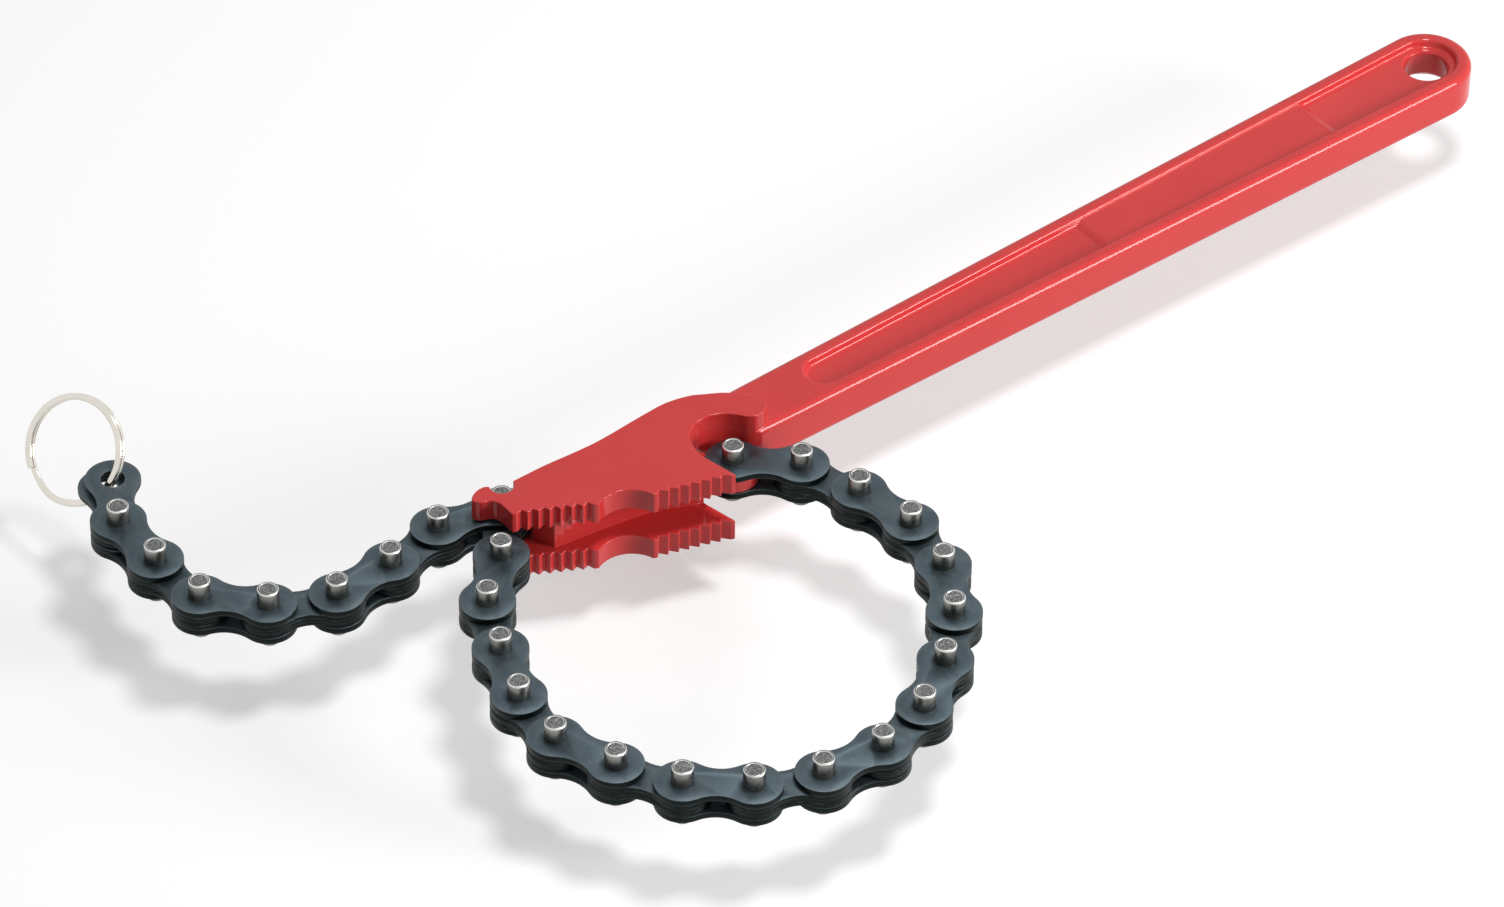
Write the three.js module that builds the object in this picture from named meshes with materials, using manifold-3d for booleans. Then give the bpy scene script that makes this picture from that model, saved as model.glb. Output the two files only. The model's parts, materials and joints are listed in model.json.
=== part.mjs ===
// A chain wrench for pipe: one forged handle with two toothed jaw plates, a leaf chain pinned
// between the plates and hooked over the toe, and a split ring in the chain's end link.
// Millimetres, +Z up. The wrench lies on its lower jaw plate, handle along +X. The origin is on
// that plate's flat underside, on the handle's centre line.

import * as THREE from 'three';
import { mergeVertices } from 'three/addons/utils/BufferGeometryUtils.js';
import Module from 'manifold-3d';

const wasm = await Module();
wasm.setup();

// Chain
const LINK_LENGTH = 15.875;
const INNER_LINK_COUNT = 12;
const PLATE_END_RADIUS = 6.6;
const PLATE_WAIST_WIDTH = 8.6;
const LEAF_COUNT = 3;
const LEAF_THICKNESS = 1.1;
const LEAF_GROOVE_DEPTH = 0.25;
const LEAF_GROOVE_WIDTH = 0.3;
const OUTER_PLATE_THICKNESS = 1.6;
const SIDE_CLEARANCE = 0.12;
const PIN_DIAMETER = 5.1;
const PIN_PROTRUSION = 4.5;
const PIN_CHAMFER = 0.45;
const BORE_CLEARANCE = 0.15;
const COVER_PLATE_CLEARANCE = 0.05;
const EYE_DIAMETER = 5.4;

// Split ring
const RING_OUTER_DIAMETER = 26.5;
const RING_WIRE_WIDTH = 1.6;
const RING_WIRE_HEIGHT = 0.85;
const RING_TURN_GAP = 0.45;
const RING_END_GAP = 0.8;

// Jaws, in plan from the anchor pin's axis: NOTCH is where the hooked pin sits behind the toe
const JAW_THICKNESS = 5.8;
const JAW_SLOT = 8.4;
const NOTCH_REACH = 51.9;
const NOTCH_RISE = 19.4;
const NOTCH_CLEARANCE = 0.3;
const TOE_REACH = 8.5;
const TOE_RISE = 2.1;
const BACK_RISE = 19;
const HEEL_BACK = 7.3;
const HEEL_DROP = 10.5;
const TOOTH_LENGTH = 2.55;
const TOOTH_DEPTH = 1.25;
const TEETH_PER_ROW = 7;
const ROW_END_LAND = 1.1;
const FRONT_ROW_SLOPE = 28;
const REAR_ROW_SLOPE = 17.7;
// How far along each pitch a tooth's valley lies: half for an even tooth, more for a saw tooth
const FRONT_VALLEY_SHARE = 0.5;
const REAR_VALLEY_SHARE = 0.76;
// Depth of the hollow between the two rows of teeth, as a share of its width
const RELIEF_DEPTH_SHARE = 0.24;
const POCKET_RADIUS = 9.3;
const LOBE_REACH = 13.5;
const CHAIN_SCOOP_CLEARANCE = 0.8;
// Where the notch's wall starts under the toe and ends at the back, seen from the hooked pin
const NOTCH_LIP_HEADING = -207;
const NOTCH_BACK_HEADING = -10;
const LUG_RADIUS = 6.3;
const LUG_NECK_START = 112;
const LUG_NECK_END = 198;

// Handle
const HANDLE_RISE = 9.85;
const HANDLE_REACH = 221.3;
const HANDLE_ROOT_WIDTH = 15.4;
const HANDLE_END_RADIUS = 11;
const HANDLE_THICKNESS = 11;
const HANDLE_EDGE_ROUND = 1.4;
const HANGING_HOLE_DIAMETER = 10.5;
const HANGING_HOLE_CHAMFER = 0.6;
const CHANNEL_DEPTH = 1.9;
const CHANNEL_DRAFT = 0.5;
const CHANNEL_RIM = 3.7;
const CHANNEL_DISTANCE = 30;
const PANEL_DISTANCE = 117;
const PANEL_LENGTH = 68.5;
const PANEL_DEPTH = 0.9;
const PANEL_STEP_LENGTH = 1.2;

// Place of the anchor pin from the origin, along the handle
const ANCHOR_AHEAD = 24;

// Heading of each link in degrees, from the anchor pin outwards, as the chain lies on the bench
const LOOP_HEADINGS = [
  -44, -73, -82, -102, -121, -137, -147, -165, -185,
  -204, -221, -239, -250, -276, -292, -296, -318, -307,
];
const TAIL_HEADINGS = [-193, -169, -176, -205, -228, -266, -273];
const END_LINK_HEADING = -300;
const LOWER_END_PLATE_TURN = 6;

// The split ring leans in the eye: the heading and tilt from level of its face, and the heading
// of its centre from the eye, in degrees, the last measured in the ring's own plane
const RING_FACE_HEADING = 196;
const RING_FACE_TILT = 54;
const RING_EYE_ANGLE = -107;

// Facets
const PLATE_END_SIDES = 9;
const PLATE_WAIST_SIDES = 3;
const PIN_SIDES = 10;
const HALF_CIRCLE_SIDES = 12;
const RELIEF_SIDES = 8;
const TOE_SIDES = 14;
const BACK_SIDES = 30;
const WEB_SIDES = 12;
const EDGE_ROUND_SIDES = 2;
const RING_STEPS_PER_TURN = 24;
const RING_TURNS = 2;

// How far a cutting solid runs past the face that it cuts, and how near two corners are one
const OVERRUN = 1;
const WELD_DISTANCE = 0.0001;

// Search for the headings that close the loop: Newton steps, each from a nudge in degrees
const LOOP_STEPS = 30;
const LOOP_NUDGE = 0.01;

// Sizes that follow from the ones above
const PACK_HALF = LEAF_COUNT * LEAF_THICKNESS / 2;
const OUTER_PLATE_INSIDE = PACK_HALF + SIDE_CLEARANCE;
const OUTER_PLATE_OUTSIDE = OUTER_PLATE_INSIDE + OUTER_PLATE_THICKNESS;
const PIN_RADIUS = PIN_DIAMETER / 2;
const PIN_HALF_LENGTH = OUTER_PLATE_OUTSIDE + PIN_PROTRUSION;
const SLOT_HALF = JAW_SLOT / 2;
const HEAD_HALF = SLOT_HALF + JAW_THICKNESS;
const HANDLE_HALF = HANDLE_THICKNESS / 2;
const HANDLE_SLOPE = Math.asin((HANDLE_END_RADIUS - HANDLE_ROOT_WIDTH / 2) / HANDLE_REACH);

const radians = THREE.MathUtils.degToRad;
const point = (x, y) => new THREE.Vector2(x, y);
const polar = (centre, radius, angle) =>
  point(centre.x + radius * Math.cos(angle), centre.y + radius * Math.sin(angle));
const ANCHOR = point(0, 0);
const NOTCH = point(-NOTCH_REACH, NOTCH_RISE);
const HANDLE_END = point(HANDLE_REACH, HANDLE_RISE);

const paint = new THREE.Color(0xc4161c);
const blackening = new THREE.Color(0x3a4650);
const nickel = new THREE.Color(0xd8d6c8);

function arc(centre, radius, start, end, sides) {
  const points = [];
  for (let i = 0; i <= sides; i++) {
    points.push(polar(centre, radius, start + (end - start) * i / sides));
  }
  return points;
}

function circle(centre, radius, sides, start = 0) {
  return arc(centre, radius, start, start + 2 * Math.PI, sides).slice(0, -1);
}

function curveThrough(points, steps) {
  return new THREE.SplineCurve(points).getPoints(steps);
}

// A polygon of this many sides that stays clear of a round of the given radius
function clearOf(radius, sides) {
  return radius / Math.cos(Math.PI / sides);
}

function solidOf(geometry) {
  const bare = new THREE.BufferGeometry();
  bare.setAttribute('position', geometry.getAttribute('position'));
  if (geometry.index) bare.setIndex(geometry.index);
  const merged = mergeVertices(bare, WELD_DISTANCE);
  return new wasm.Manifold(new wasm.Mesh({
    numProp: 3,
    vertProperties: new Float32Array(merged.getAttribute('position').array),
    triVerts: new Uint32Array(merged.index.array),
  }));
}

function geometryOf(solid) {
  const { numProp, vertProperties, triVerts } = solid.getMesh();
  const positions = new Float32Array(vertProperties.length / numProp * 3);
  for (let i = 0; i < positions.length / 3; i++) {
    for (let axis = 0; axis < 3; axis++) {
      positions[3 * i + axis] = vertProperties[numProp * i + axis];
    }
  }
  const geometry = new THREE.BufferGeometry();
  geometry.setAttribute('position', new THREE.BufferAttribute(positions, 3));
  geometry.setIndex(Array.from(triVerts));
  geometry.computeVertexNormals();
  return geometry;
}

// Walls between outlines of equal length, one per level from the bottom up, closed by flat ends
function loft(levels) {
  const count = levels[0].outline.length;
  const positions = [];
  const indices = [];
  for (const { outline, height } of levels) {
    for (const { x, y } of outline) positions.push(x, y, height);
  }
  for (let level = 0; level + 1 < levels.length; level++) {
    for (let i = 0; i < count; i++) {
      const a = level * count + i;
      const b = level * count + (i + 1) % count;
      indices.push(a, b, b + count, a, b + count, a + count);
    }
  }
  const top = count * (levels.length - 1);
  for (const [a, b, c] of THREE.ShapeUtils.triangulateShape(levels[0].outline, [])) {
    indices.push(a, c, b);
  }
  for (const [a, b, c] of THREE.ShapeUtils.triangulateShape(levels[levels.length - 1].outline, [])) {
    indices.push(top + a, top + b, top + c);
  }
  const geometry = new THREE.BufferGeometry();
  geometry.setAttribute('position', new THREE.Float32BufferAttribute(positions, 3));
  geometry.setIndex(indices);
  return solidOf(geometry);
}

function slab(outline, bottom, top) {
  const shape = new THREE.Shape(outline);
  const geometry = new THREE.ExtrudeGeometry(shape, { depth: top - bottom, bevelEnabled: false });
  geometry.translate(0, 0, bottom);
  return solidOf(geometry);
}

function join(...solids) {
  return solids.reduce((whole, solid) => whole.add(solid));
}

function cut(whole, ...tools) {
  return tools.reduce((rest, tool) => rest.subtract(tool), whole);
}

function piece(name, solid, color, roughness, metalness) {
  const material = new THREE.MeshStandardMaterial({ color, roughness, metalness, flatShading: true });
  const mesh = new THREE.Mesh(geometryOf(solid), material);
  mesh.name = name;
  return mesh;
}

const numbered = (name, number) => `${name}_${String(number).padStart(2, '0')}`;

// Outline of a chain plate: two round ends and a waist of two hollow curves tangent to them.
// The first pin is at the centre, the second one a pitch along +X.
function plateOutline(inset = 0) {
  const endRadius = PLATE_END_RADIUS - inset;
  const waist = PLATE_WAIST_WIDTH - 2 * inset;
  const half = LINK_LENGTH / 2;
  const hollow = (half ** 2 + (waist / 2) ** 2 - endRadius ** 2) / (2 * endRadius - waist);
  const hollowRise = hollow + waist / 2;
  const touch = Math.atan2(hollowRise, half);
  const far = point(LINK_LENGTH, 0);
  const above = point(half, hollowRise);
  const below = point(half, -hollowRise);
  const farEnd = arc(far, endRadius, touch - Math.PI, Math.PI - touch, PLATE_END_SIDES);
  const upper = arc(above, hollow, -touch, touch - Math.PI, PLATE_WAIST_SIDES);
  const nearEnd = arc(ANCHOR, endRadius, touch, 2 * Math.PI - touch, PLATE_END_SIDES);
  const lower = arc(below, hollow, Math.PI - touch, touch, PLATE_WAIST_SIDES);
  return [...farEnd, ...upper.slice(1, -1), ...nearEnd, ...lower.slice(1, -1)];
}

function bore(x, radius, sides, half) {
  return slab(circle(point(x, 0), clearOf(radius, sides), sides), -half - OVERRUN, half + OVERRUN);
}

// A press-fit pin standing through the whole chain, with a chamfered head at each end
function pin(x) {
  const profile = [
    point(0, -PIN_HALF_LENGTH),
    point(PIN_RADIUS - PIN_CHAMFER, -PIN_HALF_LENGTH),
    point(PIN_RADIUS, PIN_CHAMFER - PIN_HALF_LENGTH),
    point(PIN_RADIUS, PIN_HALF_LENGTH - PIN_CHAMFER),
    point(PIN_RADIUS - PIN_CHAMFER, PIN_HALF_LENGTH),
    point(0, PIN_HALF_LENGTH),
  ];
  const geometry = new THREE.LatheGeometry(profile, PIN_SIDES);
  geometry.rotateX(Math.PI / 2);
  geometry.translate(x, 0, 0);
  return solidOf(geometry);
}

// The lower plate of an outer link with the two pins riveted in it
function pinLink(name) {
  const plate = slab(plateOutline(), -OUTER_PLATE_OUTSIDE, -OUTER_PLATE_INSIDE);
  return piece(name, join(plate, pin(0), pin(LINK_LENGTH)), blackening, 0.5, 0.8);
}

// The upper plate of an outer link, pressed down over both pins
function coverPlate(name) {
  const plate = slab(plateOutline(), OUTER_PLATE_INSIDE, OUTER_PLATE_OUTSIDE);
  const hole = (x) => bore(x, PIN_RADIUS + COVER_PLATE_CLEARANCE, PIN_SIDES, OUTER_PLATE_OUTSIDE);
  return piece(name, cut(plate, hole(0), hole(LINK_LENGTH)), blackening, 0.5, 0.8);
}

// A pack of thin leaves between the outer plates; a fine groove marks where two leaves meet
function innerLink(name) {
  const full = plateOutline();
  const drawnIn = plateOutline(LEAF_GROOVE_DEPTH);
  const levels = [{ outline: full, height: -PACK_HALF }];
  for (let leaf = 1; leaf < LEAF_COUNT; leaf++) {
    const seam = leaf * LEAF_THICKNESS - PACK_HALF;
    levels.push({ outline: full, height: seam - LEAF_GROOVE_WIDTH / 2 });
    levels.push({ outline: drawnIn, height: seam });
    levels.push({ outline: full, height: seam + LEAF_GROOVE_WIDTH / 2 });
  }
  levels.push({ outline: full, height: PACK_HALF });
  const hole = (x) => bore(x, PIN_RADIUS + BORE_CLEARANCE, PIN_SIDES, PACK_HALF);
  return piece(name, cut(loft(levels), hole(0), hole(LINK_LENGTH)), blackening, 0.55, 0.8);
}

// One of the two single leaves of the end link, with the open eye that takes the split ring
function endPlate(name, bottom, top) {
  const plate = slab(plateOutline(), bottom, top);
  const pinHole = bore(0, PIN_RADIUS + BORE_CLEARANCE, PIN_SIDES, PACK_HALF);
  const eye = bore(LINK_LENGTH, EYE_DIAMETER / 2, HALF_CIRCLE_SIDES, PACK_HALF);
  return piece(name, cut(plate, pinHole, eye), blackening, 0.55, 0.8);
}

// The split ring: one wire wound into two turns, which lie on two levels and change level
// in a short joggle beside the wire's two ends
function splitRing(name) {
  const radius = (RING_OUTER_DIAMETER - RING_WIRE_WIDTH) / 2;
  const rise = RING_WIRE_HEIGHT + RING_TURN_GAP;
  const step = 2 * Math.PI / RING_STEPS_PER_TURN;
  const joggle = step;
  const start = joggle + Math.ceil(RING_END_GAP / (radius * step)) * step;
  const end = 2 * Math.PI * RING_TURNS - start;
  const steps = Math.round((end - start) / step);
  const section = [
    point(-RING_WIRE_WIDTH / 2, 0),
    point(-RING_WIRE_WIDTH / 4, -RING_WIRE_HEIGHT / 2),
    point(RING_WIRE_WIDTH / 4, -RING_WIRE_HEIGHT / 2),
    point(RING_WIRE_WIDTH / 2, 0),
    point(RING_WIRE_WIDTH / 4, RING_WIRE_HEIGHT / 2),
    point(-RING_WIRE_WIDTH / 4, RING_WIRE_HEIGHT / 2),
  ];
  const sides = section.length;
  const positions = [];
  const indices = [];
  const middle = Math.PI * RING_TURNS;
  for (let i = 0; i <= steps; i++) {
    const angle = start + i * step;
    const level = rise / 2 * THREE.MathUtils.clamp((angle - middle) / joggle, -1, 1);
    for (const { x, y } of section) {
      const reach = radius + x;
      positions.push(reach * Math.cos(angle), reach * Math.sin(angle), level + y);
    }
  }
  for (let i = 0; i < steps; i++) {
    for (let side = 0; side < sides; side++) {
      const a = i * sides + side;
      const b = i * sides + (side + 1) % sides;
      indices.push(a, b + sides, b, a, a + sides, b + sides);
    }
  }
  for (let side = 1; side + 1 < sides; side++) {
    indices.push(0, side, side + 1);
    const last = steps * sides;
    indices.push(last, last + side + 1, last + side);
  }
  let gap = Infinity;
  const half = sides * RING_STEPS_PER_TURN / 2;
  const vertex = (i) => new THREE.Vector3().fromArray(positions, 3 * i);
  for (let i = 0; i < positions.length / 3; i++) {
    for (let j = i + half; j < positions.length / 3; j++) {
      gap = Math.min(gap, vertex(i).distanceTo(vertex(j)));
    }
  }
  console.log(`${name}: least gap between its turns ${gap.toFixed(2)} mm`);
  const geometry = new THREE.BufferGeometry();
  geometry.setAttribute('position', new THREE.Float32BufferAttribute(positions, 3));
  geometry.setIndex(indices);
  return piece(name, solidOf(geometry), nickel, 0.2, 1);
}

// A row of teeth from a start point along a heading
function toothRow(start, heading, valleyShare) {
  const inwards = heading - Math.PI / 2;
  const at = (distance, depth) => polar(polar(start, distance, heading), depth, inwards);
  const points = [start.clone(), at(ROW_END_LAND, 0)];
  for (let tooth = 0; tooth < TEETH_PER_ROW; tooth++) {
    const root = ROW_END_LAND + tooth * TOOTH_LENGTH;
    points.push(at(root + TOOTH_LENGTH * valleyShare, TOOTH_DEPTH));
    points.push(at(root + TOOTH_LENGTH, 0));
  }
  points.push(at(2 * ROW_END_LAND + TEETH_PER_ROW * TOOTH_LENGTH, 0));
  return points;
}

// Foot of the toe, where the front row of teeth ends, and the toe from there up round its beak
// to the notch, as shares of the toe's reach and rise from the hooked pin's axis
const TOE_FOOT_SHARES = [[-0.481, -4.468]];
const TOE_SHARES = [
  [-0.47, -2.7], [-0.5, -1.95], [-0.62, -1.3], [-0.86, -0.9],
  [-1, -0.1], [-0.87, 0.55], [-0.62, 0.95], [-0.42, 0.93],
];

// Back edge, from the notch to the lobe over the handle, as shares of the notch's reach and the
// back's rise
const BACK_SHARES = [
  [-0.9, 0.995], [-0.77, 0.99], [-0.59, 0.955], [-0.46, 0.95],
  [-0.24, 0.99], [-0.1, 1], [0.01, 0.935],
];

// Lobe over the handle's root, as shares of the lobe's reach and the back's rise
const LOBE_SHARES = [
  [0.3, 0.84], [0.62, 0.7], [0.86, 0.52], [0.985, 0.34],
  [0.97, 0.2], [0.86, 0.12], [0.74, 0.1],
];

// Near face of the web between the jaws, as shares of the notch's reach and the pocket's radius
const WEB_SHARES = [[-0.895, 0.71], [-0.65, 0.63], [-0.4, 0.39], [-0.26, 0.02], [-0.19, -0.18]];

const sharesAt = (shares, reach, rise, from = ANCHOR) =>
  shares.map(([x, y]) => point(from.x + x * reach, from.y + y * rise));

// Where the corners of the open pocket round the anchor pin start
const POCKET_TURN = Math.PI / HALF_CIRCLE_SIDES;

// Plan of both jaw plates, clockwise from the heel: rear teeth, relief, front teeth, toe, notch,
// back, lobe and pocket

function headOutline() {
  const heel = point(-HEEL_BACK, -HEEL_DROP);
  const [toeFoot] = sharesAt(TOE_FOOT_SHARES, TOE_REACH, TOE_RISE, NOTCH);
  const rowLength = 2 * ROW_END_LAND + TEETH_PER_ROW * TOOTH_LENGTH;
  const rearHeading = Math.PI - radians(REAR_ROW_SLOPE);
  const frontHeading = Math.PI - radians(FRONT_ROW_SLOPE);
  const reliefStart = polar(heel, rowLength, rearHeading);
  const reliefEnd = polar(toeFoot, -rowLength, frontHeading);
  const rear = toothRow(heel, rearHeading, REAR_VALLEY_SHARE);
  const front = toothRow(reliefEnd, frontHeading, FRONT_VALLEY_SHARE);
  const chord = reliefEnd.clone().sub(reliefStart);
  const reliefDepth = chord.length() * RELIEF_DEPTH_SHARE;
  const reliefRadius = ((chord.length() / 2) ** 2 + reliefDepth ** 2) / (2 * reliefDepth);
  const reliefMiddle = reliefStart.clone().lerp(reliefEnd, 0.5);
  const inwards = chord.angle() + Math.PI / 2;
  const reliefCentre = polar(reliefMiddle, reliefRadius - reliefDepth, inwards);
  const sweep = Math.asin(chord.length() / 2 / reliefRadius);
  const reliefTop = chord.angle() - Math.PI / 2;
  const relief = arc(reliefCentre, reliefRadius, reliefTop - sweep, reliefTop + sweep, RELIEF_SIDES);
  const toe = curveThrough(sharesAt(TOE_SHARES, TOE_REACH, TOE_RISE, NOTCH), TOE_SIDES);
  const notchRadius = clearOf(PIN_RADIUS + NOTCH_CLEARANCE, 2 * HALF_CIRCLE_SIDES);
  const notchStart = radians(NOTCH_LIP_HEADING);
  const notchEnd = radians(NOTCH_BACK_HEADING);
  const notch = arc(NOTCH, notchRadius, notchStart, notchEnd, HALF_CIRCLE_SIDES);
  const back = curveThrough([
    ...sharesAt(BACK_SHARES, NOTCH_REACH, BACK_RISE),
    ...sharesAt(LOBE_SHARES, LOBE_REACH, BACK_RISE),
  ], BACK_SIDES);
  const pocketEnd = POCKET_TURN + Math.PI;
  const pocket = arc(ANCHOR, POCKET_RADIUS, POCKET_TURN, pocketEnd, HALF_CIRCLE_SIDES);
  return [...rear, ...relief.slice(1, -1), ...front, ...toe, ...notch, ...back, ...pocket].reverse();
}

// The two jaw plates and the web that joins them at the back
function head() {
  const plates = slab(headOutline(), -HEAD_HALF, HEAD_HALF);
  const scoop = PLATE_END_RADIUS + CHAIN_SCOOP_CLEARANCE;
  const web = sharesAt(WEB_SHARES, NOTCH_REACH, POCKET_RADIUS);
  const beyond = NOTCH_REACH + TOE_REACH + OVERRUN;
  const slot = [
    point(-beyond, NOTCH_RISE + BACK_RISE),
    point(scoop - NOTCH_REACH, NOTCH_RISE + BACK_RISE),
    ...arc(NOTCH, scoop, 0, -Math.PI / 3, PLATE_WAIST_SIDES),
    ...curveThrough(web, WEB_SIDES),
    point(0, -HEEL_DROP / 2),
    point(0, -HEEL_DROP - OVERRUN),
    point(-beyond, -HEEL_DROP - OVERRUN),
  ].reverse();
  return cut(plates, slab(slot, -SLOT_HALF, SLOT_HALF));
}

// Handle outline drawn in by an inset: a slight taper that widens to the round end
function handleOutline(inset) {
  const rootHalf = HANDLE_ROOT_WIDTH / 2 - inset;
  const turn = Math.PI / 2 + HANDLE_SLOPE;
  const end = arc(HANDLE_END, HANDLE_END_RADIUS - inset, -turn, turn, HALF_CIRCLE_SIDES);
  return [...end, point(inset, HANDLE_RISE + rootHalf), point(inset, HANDLE_RISE - rootHalf)];
}

// Plan of the sunk channel: parallel to the handle's edges, round at both ends
function channelOutline(inset) {
  const startHalf = HANDLE_ROOT_WIDTH / 2 + CHANNEL_DISTANCE * Math.tan(HANDLE_SLOPE);
  const half = startHalf - CHANNEL_RIM - inset;
  const turn = Math.PI / 2 + HANDLE_SLOPE;
  const end = arc(HANDLE_END, HANDLE_END_RADIUS - CHANNEL_RIM - inset, -turn, turn, HALF_CIRCLE_SIDES);
  const startCentre = point(CHANNEL_DISTANCE + half + inset, HANDLE_RISE);
  const start = arc(startCentre, half, turn, 2 * Math.PI - turn, HALF_CIRCLE_SIDES / 2);
  return [...end, ...start];
}

// What one depth of the channel takes out of the upper face, with drafted walls
function channelCut(depth) {
  const draft = CHANNEL_DRAFT * depth / CHANNEL_DEPTH;
  const rim = CHANNEL_DRAFT * OVERRUN / CHANNEL_DEPTH;
  return loft([
    { outline: channelOutline(draft), height: HANDLE_HALF - depth },
    { outline: channelOutline(-rim), height: HANDLE_HALF + OVERRUN },
  ]);
}

// The sunk channel of one face, with a shallower blank panel in its middle
function channel() {
  const wide = HANDLE_END_RADIUS;
  const panel = (inset) => [
    point(PANEL_DISTANCE + inset, HANDLE_RISE - wide),
    point(PANEL_DISTANCE + PANEL_LENGTH - inset, HANDLE_RISE - wide),
    point(PANEL_DISTANCE + PANEL_LENGTH - inset, HANDLE_RISE + wide),
    point(PANEL_DISTANCE + inset, HANDLE_RISE + wide),
  ];
  const raised = loft([
    { outline: panel(-PANEL_STEP_LENGTH), height: HANDLE_HALF - CHANNEL_DEPTH - OVERRUN },
    { outline: panel(0), height: HANDLE_HALF - PANEL_DEPTH },
    { outline: panel(PANEL_STEP_LENGTH), height: HANDLE_HALF + OVERRUN },
  ]);
  return join(cut(channelCut(CHANNEL_DEPTH), raised), channelCut(PANEL_DEPTH));
}

// The bar with rounded edges, a channel in both faces and the hanging hole
function handle() {
  const levels = [];
  for (let i = 0; i <= EDGE_ROUND_SIDES; i++) {
    const angle = Math.PI / 2 * i / EDGE_ROUND_SIDES;
    const inset = HANDLE_EDGE_ROUND * (1 - Math.sin(angle));
    const height = HANDLE_EDGE_ROUND * (1 - Math.cos(angle)) - HANDLE_HALF;
    levels.push({ outline: handleOutline(inset), height });
  }
  const mirrored = levels.map(({ outline, height }) => ({ outline, height: -height })).reverse();
  const bar = loft([...levels, ...mirrored]);
  const face = channel();
  const holeRadius = HANGING_HOLE_DIAMETER / 2;
  const holeSides = HALF_CIRCLE_SIDES * 2;
  const hole = slab(circle(HANDLE_END, holeRadius, holeSides), -HANDLE_THICKNESS, HANDLE_THICKNESS);
  const floor = HANDLE_HALF - CHANNEL_DEPTH;
  const countersink = loft([
    { outline: circle(HANDLE_END, holeRadius, holeSides), height: floor - HANGING_HOLE_CHAMFER },
    { outline: circle(HANDLE_END, holeRadius + HANGING_HOLE_CHAMFER, holeSides), height: floor },
    { outline: circle(HANDLE_END, holeRadius + HANGING_HOLE_CHAMFER, holeSides), height: HANDLE_HALF },
  ]);
  const halfTurn = THREE.MathUtils.radToDeg(Math.PI);
  const other = (solid) => solid.rotate([halfTurn, 0, 0]).translate([0, 2 * HANDLE_RISE, 0]);
  return cut(bar, face, other(face), hole, countersink, other(countersink));
}

// The tongue between the jaws that the chain's first link straddles
function lug() {
  const wall = POCKET_RADIUS + OVERRUN;
  const neckStart = radians(LUG_NECK_START);
  const neckEnd = radians(LUG_NECK_END);
  const outline = [
    ...arc(ANCHOR, LUG_RADIUS, neckEnd - 2 * Math.PI, neckStart, HALF_CIRCLE_SIDES),
    polar(ANCHOR, wall, neckStart),
    polar(ANCHOR, wall, neckEnd),
  ];
  const hole = bore(0, PIN_RADIUS + BORE_CLEARANCE, PIN_SIDES, PACK_HALF);
  return cut(slab(outline, -PACK_HALF, PACK_HALF), hole);
}

function wrenchBody(name) {
  const pocketPlan = circle(ANCHOR, POCKET_RADIUS, 2 * HALF_CIRCLE_SIDES, POCKET_TURN);
  const pocket = slab(pocketPlan, -HEAD_HALF - OVERRUN, HEAD_HALF + OVERRUN);
  const forging = join(cut(join(head(), handle()), pocket), lug());
  return piece(name, forging, paint, 0.35, 0);
}

// Headings of the hooked loop, turned and curled by the little that brings its last pin exactly
// into the notch
function closedLoop() {
  const headings = LOOP_HEADINGS.map(radians);
  const last = headings.length - 1;
  const curled = (turn, curl) =>
    headings.map((heading, i) => heading + turn + curl * (i - last / 2) / last);
  const miss = (turn, curl) => {
    const follow = (at, heading) => polar(at, LINK_LENGTH, heading);
    return curled(turn, curl).reduce(follow, ANCHOR).sub(NOTCH);
  };
  let turn = 0;
  let curl = 0;
  const nudge = radians(LOOP_NUDGE);
  for (let step = 0; step < LOOP_STEPS; step++) {
    const now = miss(turn, curl);
    const byTurn = miss(turn + nudge, curl).sub(now).divideScalar(nudge);
    const byCurl = miss(turn, curl + nudge).sub(now).divideScalar(nudge);
    const area = byTurn.cross(byCurl);
    turn -= now.cross(byCurl) / area;
    curl -= byTurn.cross(now) / area;
  }
  return curled(turn, curl);
}

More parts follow.
